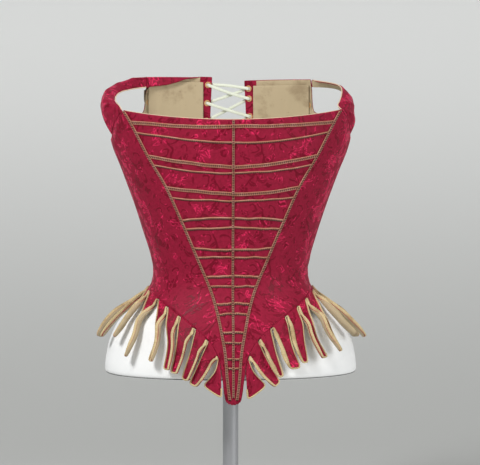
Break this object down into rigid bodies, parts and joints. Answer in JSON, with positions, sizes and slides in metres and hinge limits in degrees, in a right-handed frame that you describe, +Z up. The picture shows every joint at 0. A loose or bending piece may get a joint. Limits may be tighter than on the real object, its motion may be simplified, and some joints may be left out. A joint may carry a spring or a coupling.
{
  "type": "bodice on dress form stand",
  "caption": "Laced historic bodice of crimson damask with braid rungs and skirt tabs, resting on a white limbless dress form on a pole.",
  "frame": {"origin": "on the floor, under the middle of the round foot", "axes": "+Z up, the front of the bodice faces -Y, +X to the right as seen from the front"},
  "size_m": [0.3662, 0.27, 0.6164],
  "materials": {
    "damask": "silk damask with a satin motif on a duller ground",
    "gilt_braid": "tarnished metal thread braid",
    "tape": "woven tape",
    "linen": "plain linen, stained",
    "form_cover": "smooth close-woven white cover",
    "steel": "satin grey"
  },
  "bodies": {
    "root": {"front_left": "damask", "side_left": "damask", "back_left": "damask", "strap_left": "damask", "lining_back_left": "linen", "seam_braid_left": "gilt_braid", "binding_left": "tape", "front_right": "damask", "side_right": "damask", "back_right": "damask", "strap_right": "damask", "lining_back_right": "linen", "seam_braid_right": "gilt_braid", "binding_right": "tape", "tab_left_01": "damask", "tab_left_02": "damask", "tab_left_03": "damask", "tab_left_04": "damask", "tab_left_05": "damask", "tab_left_06": "damask", "tab_left_07": "damask", "tab_left_08": "damask", "tab_left_09": "damask", "tab_left_10": "damask", "tab_left_11": "damask", "tab_left_12": "damask", "tab_right_01": "damask", "tab_right_02": "damask", "tab_right_03": "damask", "tab_right_04": "damask", "tab_right_05": "damask", "tab_right_06": "damask", "tab_right_07": "damask", "tab_right_08": "damask", "tab_right_09": "damask", "tab_right_10": "damask", "tab_right_11": "damask", "tab_right_12": "damask", "rung_01": "gilt_braid", "rung_02": "gilt_braid", "rung_03": "gilt_braid", "rung_04": "gilt_braid", "rung_05": "gilt_braid", "rung_06": "gilt_braid", "rung_07": "gilt_braid", "rung_08": "gilt_braid", "rung_09": "gilt_braid", "rung_10": "gilt_braid", "rung_11": "gilt_braid", "rung_12": "gilt_braid", "rung_13": "gilt_braid", "rung_14": "gilt_braid", "rung_15": "gilt_braid", "rung_16": "gilt_braid", "rung_17": "gilt_braid", "rung_18": "gilt_braid", "centre_braid": "gilt_braid", "lace": "tape", "dress_form": "form_cover", "stand": "steel"}
  },
  "joints": []
}
